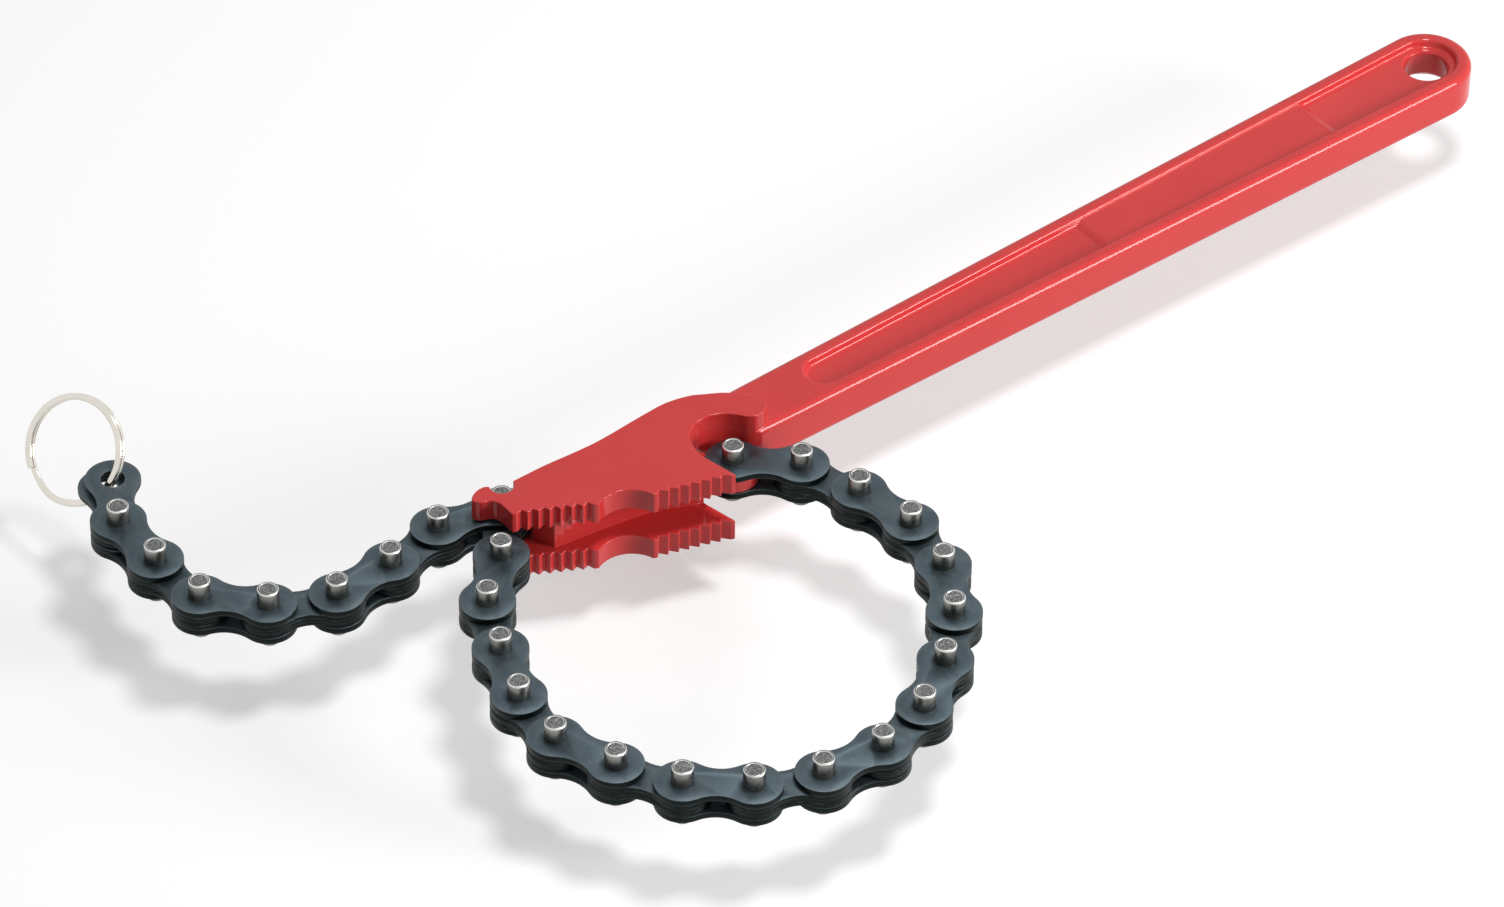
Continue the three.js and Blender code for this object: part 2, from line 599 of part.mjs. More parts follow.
// The chain in the anchor pin's frame. Outer and inner links take turns, and every link is
// numbered from the ring's end, as its pins are.
function chain() {
  const group = new THREE.Group();
  const headings = [...closedLoop(), ...TAIL_HEADINGS.map(radians)];
  const place = (mesh, at, heading) => {
    mesh.position.set(at.x, at.y, 0);
    mesh.rotation.z = heading;
    group.add(mesh);
  };
  let at = ANCHOR;
  headings.forEach((heading, i) => {
    const number = INNER_LINK_COUNT - Math.floor((i - 1) / 2);
    if (i % 2 === 0) {
      place(pinLink(numbered('pin_link', number)), at, heading);
      place(coverPlate(numbered('cover_plate', number)), at, heading);
    } else {
      place(innerLink(numbered('inner_link', number)), at, heading);
    }
    at = polar(at, LINK_LENGTH, heading);
  });
  const endHeading = radians(END_LINK_HEADING);
  const lowerHeading = endHeading + radians(LOWER_END_PLATE_TURN);
  place(endPlate('end_plate_upper', PACK_HALF - LEAF_THICKNESS, PACK_HALF), at, endHeading);
  place(endPlate('end_plate_lower', -PACK_HALF, LEAF_THICKNESS - PACK_HALF), at, lowerHeading);
  const upperEye = polar(at, LINK_LENGTH, endHeading);
  const lowerEye = polar(at, LINK_LENGTH, lowerHeading);
  const ring = splitRing('split_ring');
  const eye = upperEye.clone().lerp(lowerEye, 0.5);
  const lean = new THREE.Group();
  lean.position.set(eye.x, eye.y, 0);
  lean.rotation.set(0, 0, radians(RING_FACE_HEADING));
  const tilt = new THREE.Group();
  tilt.rotation.set(0, radians(RING_FACE_TILT), 0);
  const swing = new THREE.Group();
  swing.rotation.set(0, 0, radians(RING_EYE_ANGLE));
  ring.position.set((RING_OUTER_DIAMETER - RING_WIRE_WIDTH) / 2, 0, 0);
  ring.rotation.z = Math.PI / 2;
  group.add(lean.add(tilt.add(swing.add(ring))));
  return group;
}

const wrench = new THREE.Group();
wrench.add(wrenchBody('wrench_body'));
wrench.add(chain());
wrench.position.set(ANCHOR_AHEAD, -HANDLE_RISE, HEAD_HALF);

export default wrench;
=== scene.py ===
"""A chain pipe wrench: forged handle with toothed jaws, a hooked leaf chain and its split ring.

Sizes are in millimetres in the part's own frame and become metres where a piece is made. The
wrench lies on its lower jaw, handle along +X, and every chain pin stands along +Z.
"""
import json
import math

import bpy
from mathutils import Matrix, Vector


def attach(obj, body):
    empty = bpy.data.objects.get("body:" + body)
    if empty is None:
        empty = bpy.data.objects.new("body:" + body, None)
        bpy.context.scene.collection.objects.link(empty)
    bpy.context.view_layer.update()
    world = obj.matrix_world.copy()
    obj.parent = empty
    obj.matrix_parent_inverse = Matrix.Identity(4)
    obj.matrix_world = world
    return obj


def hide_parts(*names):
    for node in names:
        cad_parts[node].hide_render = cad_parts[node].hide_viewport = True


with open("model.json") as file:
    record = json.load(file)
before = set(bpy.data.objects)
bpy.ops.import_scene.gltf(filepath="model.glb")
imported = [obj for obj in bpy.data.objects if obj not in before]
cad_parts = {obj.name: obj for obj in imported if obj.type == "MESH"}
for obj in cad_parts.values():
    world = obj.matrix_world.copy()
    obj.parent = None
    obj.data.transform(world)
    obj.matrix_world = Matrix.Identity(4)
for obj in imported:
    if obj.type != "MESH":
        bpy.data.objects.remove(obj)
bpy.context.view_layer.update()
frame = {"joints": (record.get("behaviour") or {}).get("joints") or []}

MM = 0.001

# Where the chain's pins stand, from the hinges: pin 26 is the anchor and pin 1 carries the
# end link
PIN_PLACES = {}
for joint in frame["joints"]:
    if joint["name"].startswith("pin_"):
        PIN_PLACES[int(joint["name"].split("_")[1])] = Vector(joint["pos_m"]) / MM
    else:
        EYE = Vector(joint["pos_m"]) / MM
ANCHOR_PIN = max(PIN_PLACES)
ANCHOR = PIN_PLACES[ANCHOR_PIN]
MIDDLE = ANCHOR.z

# Chain
PITCH = (PIN_PLACES[ANCHOR_PIN] - PIN_PLACES[ANCHOR_PIN - 1]).length
PLATE_END_RADIUS = 6.53
PLATE_WAIST_WIDTH = 8.6
PLATE_BEVEL = 0.26
LEAF_COUNT = 3
LEAF_THICKNESS = 1.1
LEAF_BEVEL = 0.16
LEAF_SHIFT = 0.1
OUTER_PLATE_THICKNESS = 1.6
SIDE_CLEARANCE = 0.12
PIN_RADIUS = 2.55
PIN_PROTRUSION = 4.5
PIN_CHAMFER = 0.42
PIN_LIP = 0.3
PIN_DISH = 0.14
PUNCH_MARK_WIDTH = 0.9
PUNCH_MARK_DEPTH = 0.11
PUNCH_MARK_LENGTH = 3.2
PUNCH_MARK_TURN = 137.5
BORE_CLEARANCE = 0.15
PRESS_CLEARANCE = 0.05
EYE_RADIUS = 2.85
LOWER_END_LEAF_TURN = 6

# Split ring: its face's heading and tilt, its centre's heading from the eye
RING_OUTER_RADIUS = 13.13
RING_WIRE_WIDTH = 1.6
RING_WIRE_HEIGHT = 0.85
RING_TURN_GAP = 0.45
RING_WIRE_ROUND = 0.42
RING_FACE_HEADING = 196
RING_FACE_TILT = 54
RING_EYE_ANGLE = -107
RING_STEP = 5
RING_JOGGLE = 15
RING_END_TURN = 30
RING_ROUND_SIDES = 3

# Jaws, in plan from the anchor pin
NOTCH_REACH = 51.9
NOTCH_RISE = 19.4
NOTCH_CLEARANCE = 0.3
NOTCH_LIP_HEADING = -207
TOE_REACH = 8.5
TOE_RISE = 2.1
BACK_RISE = 19
HEEL_BACK = 7.3
HEEL_DROP = 10.5
TOOTH_PITCH = 2.55
TOOTH_DEPTH = 1.25
TEETH_PER_ROW = 7
ROW_END_LAND = 1.1
FRONT_ROW_SLOPE = 28
REAR_ROW_SLOPE = 17.7
FRONT_VALLEY_SHARE = 0.5
REAR_VALLEY_SHARE = 0.76
RELIEF_WIDTH = 12.9
RELIEF_DEPTH = 3.1
POCKET_RADIUS = 9.3
POCKET_MOUTH_REACH = 13
LOBE_REACH = 13.5
CHAIN_SCOOP_RADIUS = 7.4
CHAIN_SCOOP_SWEEP = 60
LUG_RADIUS = 6.3
LUG_NECK_START = 112
LUG_NECK_END = 198
JAW_SLOT = 8.4

# Handle
HANDLE_RISE = 9.85
HANDLE_REACH = 221.3
HANDLE_ROOT_WIDTH = 15.4
HANDLE_END_RADIUS = 11
HANDLE_THICKNESS = 11
HANDLE_EDGE_ROUND = 1.8
HANGING_HOLE_RADIUS = 5.25
HANGING_HOLE_CHAMFER = 0.6
CHANNEL_DEPTH = 1.9
CHANNEL_DRAFT = 0.2
CHANNEL_EDGE_ROUND = 0.8
CHANNEL_FOOT_ROUND = 0.8
CHANNEL_ROUND_SIDES = 5
CHANNEL_RIM = 3.7
CHANNEL_START = 30
PANEL_START = 117
PANEL_LENGTH = 68.5
PANEL_DEPTH = 0.9
PANEL_STEP_LENGTH = 2.2

# Finish of the forging: how its edges are rounded, how near two of its corners are one, and in
# degrees the least bend that counts as an edge and the greatest that counts as flat
SKIN_ROUND = 0.25
SKIN_ROUND_SIDES = 3
SKIN_MERGE = 0.1
SKIN_CORNER = 26
SKIN_FLAT = 0.5

# Planes that part the long faces of the forging beside its tight corners: (point, normal)
SEAM_PLANES = [
    ((40, 0, 0), (1, 0, 0)), ((44, 0, 0), (1, 0, 0)),
    ((0, 0, MIDDLE - 2.6), (0, 0, 1)), ((0, 0, MIDDLE + 2.6), (0, 0, 1)),
]

# Corners at the lobe's foot that are rubbed down after the rounding, as (x, y, reach), and how
# far above and below the handle's face they reach
RUBBED_CORNERS = [(32.85, -7.2, 0.95), (35.4, -6.95, 0.6)]
RUBBED_HEIGHT = 1.1
RUBBED_TIMES = 4

# How far a cutting tool runs past the face that it cuts, how near two corners are one, how
# squarely a face looks down that is taken for the tool's end, and how far the wide faces rule
# the shading of their edges, in per cent
OVERRUN = 1
WELD_DISTANCE = 0.0005
FACING = 0.9
NORMAL_WEIGHT = 100

# Turns in degrees
QUARTER = 90
HALF = 180

# Points in the plan of the head as shares of sizes: toe by toe reach and rise, back by notch
# reach and back rise, lobe by lobe reach and back rise, web by notch reach and pocket radius,
# pocket by its radius from under the lobe round to the heel's straight edge
TOE_SHARES = [
    (-0.47, -2.7), (-0.5, -1.95), (-0.62, -1.3), (-0.86, -0.9),
    (-1, -0.1), (-0.87, 0.55), (-0.62, 0.95), (-0.42, 0.93),
]
BACK_SHARES = [
    (-0.9, 0.995), (-0.77, 0.99), (-0.59, 0.955), (-0.46, 0.95),
    (-0.24, 0.99), (-0.1, 1), (0.01, 0.935),
]
LOBE_SHARES = [
    (0.3, 0.84), (0.62, 0.7), (0.86, 0.52), (0.985, 0.34),
    (0.97, 0.225), (0.86, 0.16), (0.75, 0.145), (0.6, 0.145),
]
POCKET_SHARES = [
    (1.2, 0.175), (1.065, 0.23), (0.914, 0.3), (0.76, 0.42), (0.6, 0.62), (0.388, 0.823),
    (0.1, 0.965), (-0.222, 1.012), (-0.53, 0.93), (-0.8, 0.7), (-0.955, 0.4), (-1.005, 0.05),
    (-0.985, -0.22),
]
WEB_SHARES = [(-0.882, 0.8), (-0.65, 0.63), (-0.4, 0.39), (-0.26, 0.05), (-0.19, -0.1)]

# Facets, and the bends in degrees up to which they look round and from which they are edges
END_SIDES = 28
WAIST_SIDES = 8
PIN_SIDES = 40
HALF_TURN_SIDES = 36
CURVE_SIDES = 5
EDGE_ROUND_SIDES = 6
SMOOTH_BEND = 40
WIDE_SMOOTH_BEND = 80
SHARP_BEND = 50

# Sizes that follow
HEAD_HALF = MIDDLE
SLOT_HALF = JAW_SLOT / 2
HANDLE_HALF = HANDLE_THICKNESS / 2
PACK_HALF = LEAF_COUNT * LEAF_THICKNESS / 2
PLATE_INSIDE = PACK_HALF + SIDE_CLEARANCE
PLATE_OUTSIDE = PLATE_INSIDE + OUTER_PLATE_THICKNESS
PIN_HALF_LENGTH = PLATE_OUTSIDE + PIN_PROTRUSION
HANDLE_SLOPE = math.asin((HANDLE_END_RADIUS - HANDLE_ROOT_WIDTH / 2) / HANDLE_REACH)
ORIGIN = Vector((0, 0))
NOTCH = Vector((-NOTCH_REACH, NOTCH_RISE))
HEEL = Vector((-HEEL_BACK, -HEEL_DROP))
HANDLE_END = Vector((HANDLE_REACH, HANDLE_RISE))


# --- Plans

def polar(centre, radius, angle):
    return Vector((centre.x + radius * math.cos(angle), centre.y + radius * math.sin(angle)))


def arc(centre, radius, start, end, sides):
    return [polar(centre, radius, start + (end - start) * i / sides) for i in range(sides + 1)]


def curve_through(points, sides_each=CURVE_SIDES):
    """A smooth curve through the points, with the slope at each set by its neighbours."""
    curve = []
    last = len(points) - 1
    for i in range(last):
        before, here = points[max(i - 1, 0)], points[i]
        there, after = points[i + 1], points[min(i + 2, last)]
        out, into = (there - before) / 2, (after - here) / 2
        for step in range(sides_each):
            t = step / sides_each
            curve.append(
                (2 * here - 2 * there + out + into) * t ** 3
                + (3 * there - 3 * here - 2 * out - into) * t ** 2
                + out * t + here
            )
    return curve + [points[last]]


def shares_at(shares, reach, rise, centre=ORIGIN):
    return [centre + Vector((x * reach, y * rise)) for x, y in shares]


def plate_plan(inset=0):
    """Two round ends and a waist of two hollow curves; the second pin is a pitch along +X."""
    radius = PLATE_END_RADIUS - inset
    waist = PLATE_WAIST_WIDTH / 2 - inset
    half = PITCH / 2
    hollow = (half ** 2 + waist ** 2 - radius ** 2) / (2 * (radius - waist))
    touch = math.atan2(hollow + waist, half)
    far, above = Vector((PITCH, 0)), Vector((half, hollow + waist))
    below = Vector((half, -hollow - waist))
    return (
        arc(far, radius, touch - math.pi, math.pi - touch, END_SIDES)
        + arc(above, hollow, -touch, touch - math.pi, WAIST_SIDES)[1:-1]
        + arc(ORIGIN, radius, touch, math.tau - touch, END_SIDES)
        + arc(below, hollow, math.pi - touch, touch, WAIST_SIDES)[1:-1]
    )


def tooth_row(start, heading, valley_share):
    def at(distance, depth):
        return polar(polar(start, distance, heading), depth, heading - math.pi / 2)
    row = [at(0, 0), at(ROW_END_LAND, 0)]
    for tooth in range(TEETH_PER_ROW):
        crest = ROW_END_LAND + tooth * TOOTH_PITCH
        row += [at(crest + TOOTH_PITCH * valley_share, TOOTH_DEPTH), at(crest + TOOTH_PITCH, 0)]
    return row + [at(2 * ROW_END_LAND + TEETH_PER_ROW * TOOTH_PITCH, 0)]


def head_plan():
    """Both jaws before the pocket: rear teeth, relief, front teeth, toe, notch, back, lobe."""
    rear_heading = math.pi - math.radians(REAR_ROW_SLOPE)
    front_heading = math.pi - math.radians(FRONT_ROW_SLOPE)
    rear = tooth_row(HEEL, rear_heading, REAR_VALLEY_SHARE)
    rear[0] = polar(HEEL, 2 * OVERRUN, rear_heading + math.pi)
    chord = (rear_heading + front_heading) / 2
    relief_end = polar(rear[-1], RELIEF_WIDTH, chord)
    radius = ((RELIEF_WIDTH / 2) ** 2 + RELIEF_DEPTH ** 2) / (2 * RELIEF_DEPTH)
    centre = polar(rear[-1].lerp(relief_end, 0.5), radius - RELIEF_DEPTH, chord + math.pi / 2)
    sweep = math.asin(RELIEF_WIDTH / 2 / radius)
    top = chord - math.pi / 2
    relief = arc(centre, radius, top - sweep, top + sweep, END_SIDES)[1:-1]
    front = tooth_row(relief_end, front_heading, FRONT_VALLEY_SHARE)
    toe = curve_through(shares_at(TOE_SHARES, TOE_REACH, TOE_RISE, NOTCH))
    notch_radius = PIN_RADIUS + NOTCH_CLEARANCE
    notch_end = math.asin((BACK_RISE * BACK_SHARES[0][1] - NOTCH_RISE) / notch_radius)
    notch_start = math.radians(NOTCH_LIP_HEADING)
    notch = arc(NOTCH, notch_radius, notch_start, notch_end, HALF_TURN_SIDES)
    back = curve_through(
        shares_at(BACK_SHARES, NOTCH_REACH, BACK_RISE)
        + shares_at(LOBE_SHARES, LOBE_REACH, BACK_RISE)
    )
    return rear + relief + front + toe + notch + back + [ORIGIN]


def pocket_plan():
    """What the pocket round the anchor pin takes out, open towards the chain."""
    wall = curve_through(shares_at(POCKET_SHARES, POCKET_RADIUS, POCKET_RADIUS))
    below_heel = HEEL + (HEEL - wall[-1]).normalized() * 2 * OVERRUN
    return wall + [
        below_heel, Vector((POCKET_MOUTH_REACH, below_heel.y)),
        Vector((POCKET_MOUTH_REACH, -OVERRUN)),
    ]


def slot_plan():
    """What the chain's slot takes out between the two jaws, up to the web's near face."""
    beyond = NOTCH_REACH + TOE_REACH + OVERRUN
    top = NOTCH_RISE + BACK_RISE
    foot = -HEEL_DROP - OVERRUN
    sweep = math.radians(CHAIN_SCOOP_SWEEP)
    return [
        Vector((-beyond, top)), Vector((CHAIN_SCOOP_RADIUS - NOTCH_REACH, top)),
        *arc(NOTCH, CHAIN_SCOOP_RADIUS, 0, -sweep, END_SIDES),
        *curve_through(shares_at(WEB_SHARES, NOTCH_REACH, POCKET_RADIUS)),
        Vector((0, -HEEL_DROP / 2)), Vector((0, foot)), Vector((-beyond, foot)),
    ]


def handle_plan():
    """A slight taper that widens to the round end."""
    half = HANDLE_ROOT_WIDTH / 2
    turn = math.pi / 2 + HANDLE_SLOPE
    return arc(HANDLE_END, HANDLE_END_RADIUS, -turn, turn, HALF_TURN_SIDES) + [
        Vector((0, HANDLE_RISE + half)), Vector((0, HANDLE_RISE - half)),
    ]


def channel_plan(inset):
    """The sunk channel: parallel to the handle's edges and round at both ends."""
    start_half = HANDLE_ROOT_WIDTH / 2 + CHANNEL_START * math.tan(HANDLE_SLOPE)
    half = start_half - CHANNEL_RIM - inset
    turn = math.pi / 2 + HANDLE_SLOPE
    radius = HANDLE_END_RADIUS - CHANNEL_RIM - inset
    start = Vector((CHANNEL_START + half + inset, HANDLE_RISE))
    return arc(HANDLE_END, radius, -turn, turn, HALF_TURN_SIDES) + arc(
        start, half, turn, math.tau - turn, HALF_TURN_SIDES
    )


# --- Modelling steps

def take(piece):
    """Makes one piece the only selected one, and the active one."""
    bpy.ops.object.select_all(action="DESELECT")
    piece.select_set(True)
    bpy.context.view_layer.objects.active = piece


def open_up(piece, kind="VERT"):
    """Starts work on a piece's vertices, edges or faces, with all of them selected."""
    take(piece)
    bpy.ops.object.mode_set(mode="EDIT")
    bpy.ops.mesh.select_mode(type=kind)
    bpy.ops.mesh.select_all(action="SELECT")


def close_up(piece):
    """Turns every face outwards and ends the work."""
    bpy.ops.mesh.select_all(action="SELECT")
    bpy.ops.mesh.normals_make_consistent(inside=False)
    bpy.ops.object.mode_set(mode="OBJECT")
    return piece


def pick_faces(piece, wanted):
    """Selects the faces whose place and normal the test accepts."""
    bpy.ops.mesh.select_mode(type="FACE")
    bpy.ops.mesh.select_all(action="DESELECT")
    bpy.ops.object.mode_set(mode="OBJECT")
    for face in piece.data.polygons:
        face.select = wanted(face.center / MM, face.normal)
    bpy.ops.object.mode_set(mode="EDIT")


def pick_corners(piece, wanted):
    """Selects the vertices whose place the test accepts."""
    bpy.ops.mesh.select_mode(type="VERT")
    bpy.ops.mesh.select_all(action="DESELECT")
    bpy.ops.object.mode_set(mode="OBJECT")
    for corner in piece.data.vertices:
        corner.select = wanted(corner.co / MM)
    bpy.ops.object.mode_set(mode="EDIT")


def draw_line(name, points):
    """A line drawn corner by corner, left open for work with its vertices selected."""
    bpy.ops.object.select_all(action="DESELECT")
    bpy.ops.mesh.primitive_plane_add(size=MM, location=(0, 0, 0))
    piece = bpy.context.object
    piece.name = name
    open_up(piece)
    bpy.ops.mesh.merge(type="CENTER")
    bpy.ops.transform.translate(value=points[0] * MM)
    for here, there in zip(points, points[1:]):
        step = (there - here) * MM
        bpy.ops.mesh.extrude_vertices_move(TRANSFORM_OT_translate={"value": step})
    bpy.ops.mesh.select_all(action="SELECT")
    return piece


def extrude(x, y, z):
    bpy.ops.mesh.extrude_region_move(TRANSFORM_OT_translate={"value": (x * MM, y * MM, z * MM)})


def slab(name, plan, bottom, top):
    """A plan drawn and filled at one height and extruded up to another."""
    piece = draw_line(name, [Vector((x, y, bottom)) for x, y in plan])
    bpy.ops.mesh.edge_face_add()
    extrude(0, 0, top - bottom)
    return close_up(piece)


def turned(name, stations, sides, centre=ORIGIN):
    """A round piece on an upright axis, spun from its profile: (height, radius) from below."""
    ends = [(stations[0][0], 0), *stations, (stations[-1][0], 0)]
    profile = [Vector((centre.x + out, centre.y, height)) for height, out in ends]
    piece = draw_line(name, profile)
    bpy.ops.mesh.spin(
        steps=sides, angle=math.tau, center=(centre.x * MM, centre.y * MM, 0), axis=(0, 0, 1),
    )
    bpy.ops.mesh.select_all(action="SELECT")
    bpy.ops.mesh.remove_doubles(threshold=WELD_DISTANCE * MM)
    return close_up(piece)


def apply(piece, kind, **settings):
    """Adds a modifier, sets it and applies it."""
    modifier = piece.modifiers.new(kind.lower(), kind)
    for setting, value in settings.items():
        setattr(modifier, setting, value)
    take(piece)
    bpy.ops.object.modifier_apply(modifier=modifier.name)
    return piece


def combine(piece, tool, operation):
    apply(piece, "BOOLEAN", operation=operation, object=tool, solver="MANIFOLD")
    bpy.data.objects.remove(tool)
    return piece


def cut(piece, *tools):
    for tool in tools:
        combine(piece, tool, "DIFFERENCE")
    return piece


def join(piece, *parts):
    for part in parts:
        combine(piece, part, "UNION")
    return piece


def smooth(piece, angle=SMOOTH_BEND):
    take(piece)
    bpy.ops.object.shade_smooth_by_angle(angle=math.radians(angle))
    return piece


def soften(piece, width, segments=2):
    """Rounds every sharp edge."""
    return apply(
        piece, "BEVEL", width=width * MM, segments=segments, limit_method="ANGLE",
        angle_limit=math.radians(SHARP_BEND),
    )


def move(piece, matrix):
    """Moves a piece, and puts its new place into its mesh."""
    piece.matrix_world = matrix
    take(piece)
    bpy.ops.object.transform_apply(location=True, rotation=True, scale=True)
    return piece


def shift(x, y, z):
    return Matrix.Translation((x * MM, y * MM, z * MM))


def turn(angle, axis="Z"):
    return Matrix.Rotation(math.radians(angle), 4, axis)


def copy_of(pattern, name, matrix):
    piece = pattern.copy()
    piece.data = pattern.data.copy()
    piece.name = name
    piece.data.name = name
    bpy.context.scene.collection.objects.link(piece)
    return move(piece, matrix)


# --- Chain

def bore_tool(x, radius, half):
    return turned("bore_tool", [(-half, radius), (half, radius)], PIN_SIDES, Vector((x, 0)))


def chain_plate(name, bottom, top, bevel, near_hole, far_hole, inset=0):
    plate = slab(name, plate_plan(inset), bottom, top)
    half = PIN_HALF_LENGTH
    cut(plate, bore_tool(0, near_hole, half), bore_tool(PITCH, far_hole, half))
    return smooth(soften(plate, bevel))


def chain_pin(name):
    """A riveted pin: dished and punched ends with a worn rim."""
    rim = PIN_RADIUS - PIN_CHAMFER
    upper = [
        (PLATE_OUTSIDE, PIN_RADIUS), (PIN_HALF_LENGTH - PIN_CHAMFER, PIN_RADIUS),
        (PIN_HALF_LENGTH - PIN_CHAMFER / 3, PIN_RADIUS - PIN_CHAMFER / 3),
        (PIN_HALF_LENGTH, rim),
        (PIN_HALF_LENGTH, rim - PIN_LIP / 2),
        (PIN_HALF_LENGTH - PIN_DISH, rim - PIN_LIP),
    ]
    lower = [(-height, radius) for height, radius in reversed(upper)]
    pin = turned(name, lower + upper, PIN_SIDES)
    for side in (-1, 1):
        cut(pin, punch_mark(side * (PIN_HALF_LENGTH - PIN_DISH)))
    return smooth(pin)


def punch_mark(height):
    """The wedge that a punch leaves across a pin's end."""
    half = PUNCH_MARK_LENGTH / 2
    wedge = [
        Vector((-PUNCH_MARK_WIDTH / 2, 0)), Vector((0, -PUNCH_MARK_DEPTH)),
        Vector((PUNCH_MARK_WIDTH / 2, 0)), Vector((0, PUNCH_MARK_DEPTH)),
    ]
    tool = slab("punch_mark", wedge, -half, half)
    return move(tool, shift(0, 0, height) @ turn(QUARTER, "X"))


def link_place(near, far):
    """Where a link stands whose two pins stand at these places."""
    along = far - near
    heading = math.degrees(math.atan2(along.y, along.x))
    return shift(near.x, near.y, near.z) @ turn(heading)


def finish(piece, body, node, material):
    piece.data.materials.clear()
    piece.data.materials.append(material)
    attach(piece, body)
    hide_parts(node)
    return piece


def make_chain(plate_finish, leaf_finish, pin_finish):
    tight = PIN_RADIUS + PRESS_CLEARANCE
    loose = PIN_RADIUS + BORE_CLEARANCE
    plate = chain_plate("plate", PLATE_INSIDE, PLATE_OUTSIDE, PLATE_BEVEL, tight, tight)
    leaf = chain_plate(
        "leaf", -LEAF_THICKNESS / 2, LEAF_THICKNESS / 2, LEAF_BEVEL, loose, loose,
        LEAF_SHIFT,
    )
    end_leaf = chain_plate(
        "end_leaf", -LEAF_THICKNESS / 2, LEAF_THICKNESS / 2, LEAF_BEVEL, loose, EYE_RADIUS,
    )
    pin = chain_pin("pin")
    over = turn(HALF, "X")
    for near in range(ANCHOR_PIN, 1, -1):
        far = near - 1
        place = link_place(PIN_PLACES[near], PIN_PLACES[far])
        number = f"{near // 2:02d}"
        if near % 2 == 0:
            body = f"outer_link_{number}"
            upper = copy_of(plate, f"upper_plate_{number}", place)
            finish(upper, body, f"cover_plate_{number}", plate_finish)
            lower = copy_of(plate, f"lower_plate_{number}", place @ over)
            finish(lower, body, f"pin_link_{number}", plate_finish)
            for which, at in ((near, 0), (far, PITCH)):
                spot = place @ shift(at, 0, 0) @ turn(which * PUNCH_MARK_TURN)
                one = copy_of(pin, f"pin_{which:02d}", spot)
                finish(one, body, f"pin_link_{number}", pin_finish)
            continue
        for layer in range(LEAF_COUNT):
            level = (layer - (LEAF_COUNT - 1) / 2) * LEAF_THICKNESS
            lean = (near * LEAF_COUNT + layer) * math.radians(PUNCH_MARK_TURN)
            nudge = shift(LEAF_SHIFT * math.cos(lean), LEAF_SHIFT * math.sin(lean), level)
            one = copy_of(leaf, f"leaf_{number}_{layer + 1}", place @ nudge)
            link = f"inner_link_{number}"
            finish(one, link, link, leaf_finish)
    place = link_place(PIN_PLACES[1], EYE)
    level = PACK_HALF - LEAF_THICKNESS / 2
    for side, node in ((1, "upper"), (-1, "lower")):
        at = place @ turn(-side * LOWER_END_LEAF_TURN / 2) @ shift(0, 0, side * level)
        one = copy_of(end_leaf, f"end_leaf_{node}", at)
        finish(one, "end_link", f"end_plate_{node}", plate_finish)
    for pattern in (plate, leaf, end_leaf, pin):
        bpy.data.objects.remove(pattern)


# --- Split ring

def make_ring(material):
    """One flat wire spun round twice on two levels, with a short joggle between its turns."""
    radius = RING_OUTER_RADIUS - RING_WIRE_WIDTH / 2
    rise = RING_WIRE_HEIGHT + RING_TURN_GAP
    bpy.ops.object.select_all(action="DESELECT")
    bpy.ops.mesh.primitive_plane_add(size=MM, rotation=(math.pi / 2, 0, 0))
    wire = bpy.context.object
    wire.name = "ring_wire"
    move(wire, wire.matrix_world.copy())
    open_up(wire)
    bpy.ops.transform.resize(value=(RING_WIRE_WIDTH, 1, RING_WIRE_HEIGHT))
    bpy.ops.mesh.bevel(
        offset=RING_WIRE_ROUND * MM, segments=RING_ROUND_SIDES, affect="VERTICES",
    )
    bpy.ops.mesh.select_all(action="SELECT")
    bpy.ops.transform.translate(value=(radius * MM, 0, -rise / 2 * MM))
    step = math.radians(RING_STEP)
    bpy.ops.transform.rotate(
        value=-math.radians(RING_END_TURN), orient_axis="Z", center_override=(0, 0, 0),
    )
    plain = round((2 * HALF - RING_END_TURN - RING_JOGGLE) / RING_STEP)
    joggle = round(2 * RING_JOGGLE / RING_STEP)
    for i in range(2 * plain + joggle):
        lift = rise / joggle if plain <= i < plain + joggle else 0
        extrude(0, 0, lift)
        bpy.ops.transform.rotate(value=-step, orient_axis="Z", center_override=(0, 0, 0))
    close_up(wire)
    smooth(wire, WIDE_SMOOTH_BEND)
    lean = (
        turn(RING_FACE_HEADING)
        @ turn(RING_FACE_TILT, "Y")
        @ turn(RING_EYE_ANGLE)
        @ shift(radius, 0, 0)
        @ turn(QUARTER)
    )
    ring = copy_of(wire, "split_ring_wire", shift(EYE.x, EYE.y, EYE.z) @ lean)
    bpy.data.objects.remove(wire)
    return finish(ring, "ring", "split_ring", material)


# --- Forged body

def channel_side():
    """The channel's side from above: (inset, depth) round its upper edge and into its floor."""
    brow, foot = CHANNEL_EDGE_ROUND, CHANNEL_FOOT_ROUND
    turns = [math.pi / 2 * i / CHANNEL_ROUND_SIDES for i in range(CHANNEL_ROUND_SIDES + 1)]
    upper = [(brow * (math.sin(t) - 1), brow * (1 - math.cos(t))) for t in turns[:-1]]
    lower = [
        (CHANNEL_DRAFT + foot * (1 - math.cos(t)), CHANNEL_DEPTH - foot * (1 - math.sin(t)))
        for t in turns[1:]
    ]
    lift = (upper[1][1] - upper[0][1]) / (upper[1][0] - upper[0][0]) * OVERRUN
    return [(upper[0][0] - OVERRUN, -lift)] + upper[1:] + lower


